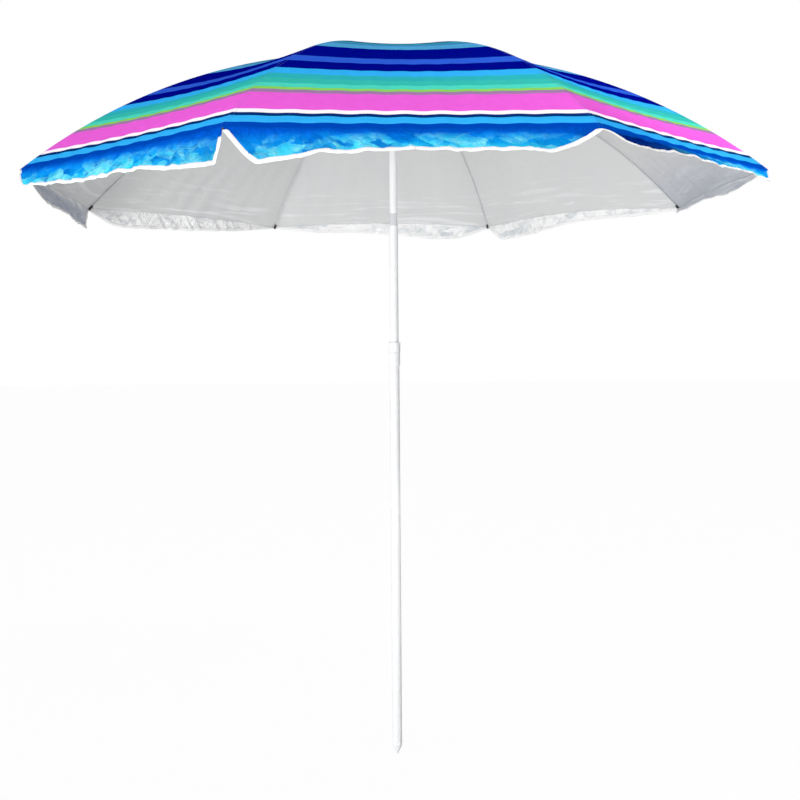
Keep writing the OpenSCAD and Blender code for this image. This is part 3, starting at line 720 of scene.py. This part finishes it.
def makeGore(k):
    # the strip of cloth around rib k, from the middle of one panel to the middle of the next, with its
    # flat size and area
    sides = [panelSide(p, t) for p, t in stripPanels(k)]
    strip = {key: joinSides(sides[0][key], sides[1][key]) for key in sides[0] if key != "across"}
    normals = strip["normals"]
    normals = normals / np.linalg.norm(normals, axis=-1, keepdims=True)
    outer = strip["points"] + normals * canopySpec["thick"]
    rows, cols = strip["length"].shape
    count = rows * cols
    outerFaces = gridFaces(rows, cols)
    innerFaces = gridFaces(rows, cols, turned=True) + count
    grid = np.arange(count).reshape(rows, cols)
    hem = np.concatenate([grid[:, 0], grid[-1, 1:], grid[-2::-1, -1], grid[0, -2:0:-1]])
    after = np.roll(hem, -1)
    hemFaces = np.stack([hem, hem + count, after + count, after], axis=1)
    faces = np.concatenate([outerFaces, innerFaces, hemFaces])
    kinds = np.repeat((0, 1, 0), (len(outerFaces), len(innerFaces), len(hemFaces)))
    points = np.concatenate([outer.reshape(-1, 3), strip["points"].reshape(-1, 3)])
    gore = meshObject(f"canopyCloth_{k}", points, faces, [stripedCloth, silverCoat], kinds)
    mesh = gore.data
    addAttribute(mesh, "stripe", np.tile(strip["stripe"].ravel(), 2))
    # painted shade, on the outside's points and then the inside's
    addAttribute(mesh, "paintedShade", np.concatenate([strip["paintedShadeOut"].ravel(), strip["paintedShadeIn"].ravel()]))
    addClothMap(mesh, faces, sides, strip["length"])
    setNormals(mesh, faces, normals.reshape(-1, 3), len(outerFaces) + len(innerFaces))
    area = sum(face.area for face in mesh.polygons[:len(outerFaces)])
    return gore, (2 * halfRim, float(strip["length"].max()) - startLen), area


# white binding over the free edge of the flaps
bindingSpec = dict(width=0.0088, most=0.75, proud=0.00045, tuck=0.00005)


def besideEdge(p, t, reach, lift):
    # reach is the share of the binding's width in from the flap's edge, lift the height over its inside
    c = bindingSpec
    x = t * halfRim
    h = flapLength(p, t)
    dx, dh = np.gradient(x), np.gradient(h)
    wide = np.minimum(c["width"], c["most"] * h) * np.sign(dx) / np.hypot(dx, dh)
    tt = (x + dh * wide * reach) / halfRim
    hh = h - dx * wide * reach
    return flapPoint(p, tt, hh) + normalOf(flapPoint, p, tt, hh) * lift


def makeBinding(k):
    c = bindingSpec
    thick = canopySpec["thick"]
    top = thick + c["proud"]
    # reach and lift from its outer edge round the flap's edge to its inner edge
    section = ((1.0, thick + c["tuck"]), (0.5, top), (0.06, top), (-0.07, thick / 2),
               (0.06, -c["proud"]), (0.5, -c["proud"]), (1.0, -c["tuck"]))
    sides = [np.stack([besideEdge(p, t, *place) for place in section]) for p, t in stripPanels(k)]
    points = joinSides(*sides)
    rows, cols = points.shape[:2]
    grid = np.arange(rows * cols).reshape(rows, cols)
    # round the tape, with its last row joined to its first, and both ends closed
    faces = list(gridFaces(rows + 1, cols) % (rows * cols))
    faces += [grid[::-1, 0], grid[:, -1]]
    return meshObject(f"flapBinding_{k}", points.reshape(-1, 3), faces, [whiteTape])


# stitches, set along lines by a node tree
stitchSpec = dict(
    pitch=0.0062, length=0.0038, radius=0.00028, segments=6, rings=4,
    seamTop=0.022, seamEnd=0.004, seamAside=0.0045, seamLift=0.0002, seamPoints=160,  # beside a seam
    edgeEnd=0.985, edgeIn=0.72, edgeLift=0.6, edgePoints=140)  # along the binding


def makeStitchTree():
    tree = bpy.data.node_groups.new("stitchLine", "GeometryNodeTree")
    ids = {}
    for label, kind in (("Geometry", "Geometry"), ("Pitch", "Float"), ("Length", "Float"),
                        ("Radius", "Float"), ("Thread", "Material")):
        socket = tree.interface.new_socket(label, in_out="INPUT", socket_type="NodeSocket" + kind)
        ids[label] = socket.identifier
    tree.interface.new_socket("Geometry", in_out="OUTPUT", socket_type="NodeSocketGeometry")
    start, end = tree.nodes.new("NodeGroupInput"), tree.nodes.new("NodeGroupOutput")
    points = addNode(tree, "GeometryNodeCurveToPoints", mode="LENGTH")
    ball = addNode(tree, "GeometryNodeMeshUVSphere", in_Segments=stitchSpec["segments"],
                   in_Rings=stitchSpec["rings"], in_Radius=1.0)
    place = addNode(tree, "GeometryNodeInstanceOnPoints")
    size = addNode(tree, "ShaderNodeCombineXYZ")
    realize = addNode(tree, "GeometryNodeRealizeInstances")
    paint = addNode(tree, "GeometryNodeSetMaterial")
    link = tree.links.new
    link(start.outputs["Geometry"], points.inputs["Curve"])
    link(start.outputs["Pitch"], points.inputs["Length"])
    link(start.outputs["Radius"], size.inputs[0])
    link(start.outputs["Radius"], size.inputs[1])
    link(scaled(tree, start.outputs["Length"], 0.5), size.inputs[2])
    link(points.outputs["Points"], place.inputs["Points"])
    link(points.outputs["Rotation"], place.inputs["Rotation"])
    link(ball.outputs["Mesh"], place.inputs["Instance"])
    link(size.outputs[0], place.inputs["Scale"])
    link(place.outputs[0], realize.inputs[0])
    link(realize.outputs[0], paint.inputs["Geometry"])
    link(start.outputs["Thread"], paint.inputs["Material"])
    link(paint.outputs[0], end.inputs[0])
    return tree, ids


stitchTree, stitchIds = makeStitchTree()


def makeStitches(name, lines):
    curve = bpy.data.curves.new(name + "Path", "CURVE")
    curve.dimensions = "3D"
    for line in lines:
        spline = curve.splines.new("POLY")
        spline.points.add(len(line) - 1)
        spline.points.foreach_set("co", np.concatenate([line, np.ones((len(line), 1))], axis=1).ravel())
    path = bpy.data.objects.new(name + "Path", curve)
    bpy.context.scene.collection.objects.link(path)
    modifier = path.modifiers.new("stitches", "NODES")
    modifier.node_group = stitchTree
    modifier[stitchIds["Pitch"]] = stitchSpec["pitch"]
    modifier[stitchIds["Length"]] = stitchSpec["length"]
    modifier[stitchIds["Radius"]] = stitchSpec["radius"]
    modifier[stitchIds["Thread"]] = stitchThread
    bpy.context.view_layer.update()
    graph = bpy.context.evaluated_depsgraph_get()
    mesh = bpy.data.meshes.new_from_object(path.evaluated_get(graph), depsgraph=graph)
    mesh.name = name
    obj = bpy.data.objects.new(name, mesh)
    bpy.context.scene.collection.objects.link(obj)
    bpy.data.objects.remove(path)
    bpy.data.curves.remove(curve)
    mesh.polygons.foreach_set("use_smooth", np.ones(len(mesh.polygons), bool))
    return obj


def stitchLines(k):
    # beside the seam over the rib, and along the binding
    c = stitchSpec
    thick = canopySpec["thick"]
    s = np.linspace(startLen + c["seamTop"], ribLen - c["seamEnd"], c["seamPoints"])
    halfChord = ribLine(s)[0] * math.sin(halfStep)
    lines = []
    for (p, _), side in zip(stripPanels(k), (1, -1)):
        t = side * (1 - c["seamAside"] / halfChord)
        lines.append(clothPoint(p, t, s) + normalOf(clothPoint, p, t, s) * (thick + c["seamLift"]))
        t = np.linspace(0, side * c["edgeEnd"], c["edgePoints"])
        lines.append(besideEdge(p, t, c["edgeIn"], thick + bindingSpec["proud"] * c["edgeLift"]))
    return lines


for k in range(1, canopySpec["ribs"] + 1):
    gore, flat, area = makeGore(k)
    binding = makeBinding(k)
    stitches = makeStitches(f"seamStitches_{k}", stitchLines(k))
    for piece in (gore, binding, stitches):
        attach(piece, f"rib_arm_{k}")
        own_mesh(piece)
    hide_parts(f"canopy_{k}")
print("canopy cloth, binding and stitches made")


# round patch over the hub
patchSpec = dict(
    inner=0.0038, flat=0.029, outer=0.052, thick=0.0008, area=0.0085,  # radii, thickness and sheet area
    overHub=0.0073, drop=0.00685, bend=1.15, ribWave=0.0007, fineWave=0.0003, fineCount=21,
    rings=26, turns=96, stitchIn=0.004, stitchLift=0.0003, stitchPoints=140)


def patchHeight(r, angle):
    # flat over the hub, then falling to the edge with a low wave over the ribs
    c = patchSpec
    fall = np.clip((r - c["flat"]) / (c["outer"] - c["flat"]), 0, 1)
    z = hubHeight + c["overHub"] - c["drop"] * fall ** c["bend"]
    return z + c["ribWave"] * fall * np.cos(canopySpec["ribs"] * (angle - halfStep)), fall


def makeCrownPatch():
    c = patchSpec
    radius = np.linspace(c["inner"], c["outer"], c["rings"])
    angle = np.linspace(0, 2 * np.pi, c["turns"], endpoint=False)
    rr, aa = np.meshgrid(radius, angle, indexing="ij")
    z, fall = patchHeight(rr, aa)
    z = z + c["fineWave"] * fall * np.sin(c["fineCount"] * aa)
    low = np.stack([rr * np.cos(aa), rr * np.sin(aa), z], axis=-1).reshape(-1, 3)
    high = low + np.array([0, 0, c["thick"]])
    cols, count = c["turns"], len(low)
    grid = np.arange(count).reshape(-1, cols)
    after = np.roll(grid, -1, axis=1)
    a, b = grid[:-1].ravel(), after[:-1].ravel()
    faces = np.concatenate([
        np.stack([a, a + cols, b + cols, b], axis=1) + count,
        np.stack([a, b, b + cols, a + cols], axis=1),
        np.stack([grid[0], grid[0] + count, after[0] + count, after[0]], axis=1),
        np.stack([grid[-1], after[-1], after[-1] + count, grid[-1] + count], axis=1)])
    patch = meshObject("crownPatchCloth", np.concatenate([low, high]), faces, [crownCloth])
    r = c["outer"] - c["stitchIn"]
    a = np.linspace(0, 2 * np.pi, c["stitchPoints"])
    height = patchHeight(r, a)[0] + c["thick"] + c["stitchLift"]
    ring = np.stack([r * np.cos(a), r * np.sin(a), height], axis=1)
    stitches = makeStitches("crownStitches", [ring])
    for piece in (patch, stitches):
        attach(piece, "head")
    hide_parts("crown_patch")


makeCrownPatch()
print("crown patch made")


# floor, light and camera
floorSpec = dict(half=40.0, z=-0.001, dark=(0.93, 0.93, 0.93), pale=(0.95, 0.95, 0.95), patch=0.8,
                 detail=3.0, rough=0.9, specular=0.1, lift=0.97)


def makeFloor():
    c = floorSpec
    material, tree, shader = newMaterial("paleFloor")
    noise = addNode(tree, "ShaderNodeTexNoise", in_Scale=c["patch"], in_Detail=c["detail"])
    tree.links.new(addNode(tree, "ShaderNodeTexCoord").outputs["Object"], noise.inputs["Vector"])
    tree.links.new(mixColour(tree, noise.outputs[0], c["dark"], c["pale"]), shader.inputs["Base Color"])
    shader.inputs["Roughness"].default_value = c["rough"]
    shader.inputs["Specular IOR Level"].default_value = c["specular"]
    # seen directly, the floor is lifted towards the white backdrop
    glow = addNode(tree, "ShaderNodeEmission")
    seen = addNode(tree, "ShaderNodeLightPath").outputs["Is Camera Ray"]
    both = addNode(tree, "ShaderNodeMixShader")
    tree.links.new(scaled(tree, seen, c["lift"]), both.inputs[0])
    tree.links.new(shader.outputs[0], both.inputs[1])
    tree.links.new(glow.outputs[0], both.inputs[2])
    tree.links.new(both.outputs[0], tree.nodes["Material Output"].inputs["Surface"])
    corners = [(x * c["half"], y * c["half"], c["z"]) for x, y in ((-1, -1), (1, -1), (1, 1), (-1, 1))]
    floor = meshObject("floor", corners, [(0, 1, 2, 3)], [material], smooth=False)


# the room is brighter on the left
skySpec = dict(left=0.78, right=0.20, reach=0.8, backdrop=1.0)


def makeSky():
    c = skySpec
    world = bpy.data.worlds.new("studio")
    bpy.context.scene.world = world
    world.use_nodes = True
    tree = world.node_tree
    sky = tree.nodes["Background"]
    way = addNode(tree, "ShaderNodeSeparateXYZ")
    tree.links.new(addNode(tree, "ShaderNodeTexCoord").outputs["Generated"], way.inputs[0])
    strength = mapRange(tree, way.outputs[0], -c["reach"], c["reach"], c["left"], c["right"])
    tree.links.new(strength, sky.inputs["Strength"])
    backdrop = addNode(tree, "ShaderNodeBackground", in_Strength=c["backdrop"])
    for node in (sky, backdrop):
        node.inputs["Color"].default_value = (1.0, 1.0, 1.0, 1.0)
    both = addNode(tree, "ShaderNodeMixShader")
    tree.links.new(addNode(tree, "ShaderNodeLightPath").outputs["Is Camera Ray"], both.inputs[0])
    tree.links.new(sky.outputs[0], both.inputs[1])
    tree.links.new(backdrop.outputs[0], both.inputs[2])
    tree.links.new(both.outputs[0], tree.nodes["World Output"].inputs["Surface"])


lampSpec = {
    "keyLight": dict(place=(2.0, -1.0, 4.8), target=(0, 0, 1.5), size=1.6, power=80.0, spread=180.0),
    "fillLight": dict(place=(-3.4, -2.6, 2.2), target=(0, 0, 1.4), size=2.2, power=12.0, spread=180.0),
    "underLight": dict(place=(-1.9, -3.7, 0.4), target=(0, 0.5, 1.5), size=1.7, power=118.0, spread=180.0),
    # a narrow beam on the right-hand panel
    "sideLight": dict(place=(2.6, -2.2, 3.4), target=(0.75, -0.4, 1.6), size=0.5, power=1.0, spread=26.0),
}


def makeLamp(name, spec):
    data = bpy.data.lights.new(name, "AREA")
    data.shape = "DISK"
    data.size = spec["size"]
    data.energy = spec["power"]
    data.spread = math.radians(spec["spread"])
    lamp = bpy.data.objects.new(name, data)
    lamp.location = spec["place"]
    aim = Vector(spec["target"]) - Vector(spec["place"])
    lamp.rotation_euler = aim.to_track_quat("-Z", "Y").to_euler()
    bpy.context.scene.collection.objects.link(lamp)


# where the photo was taken from, in metres, degrees and millimetres of lens
cameraSpec = dict(place=(-0.140, -3.027, 1.05), pitch=2.26, heading=2.90, roll=0.42, lens=52.56,
                  sensor=36.0, farClip=200.0)


def makeCamera():
    c = cameraSpec
    data = bpy.data.cameras.new("photoCamera")
    data.lens = c["lens"]
    data.sensor_width = c["sensor"]
    data.clip_end = c["farClip"]
    camera = bpy.data.objects.new("photoCamera", data)
    camera.location = c["place"]
    aim = Euler((math.radians(90 - c["pitch"]), 0.0, math.radians(-c["heading"]))).to_matrix()
    camera.rotation_euler = (aim @ Matrix.Rotation(math.radians(-c["roll"]), 3, "Z")).to_euler()
    bpy.context.scene.collection.objects.link(camera)
    bpy.context.scene.camera = camera
    bpy.context.scene.view_settings.view_transform = "Standard"


makeFloor()
makeSky()
for lampName, lamp in lampSpec.items():
    makeLamp(lampName, lamp)
makeCamera()
print("floor, light and camera set")
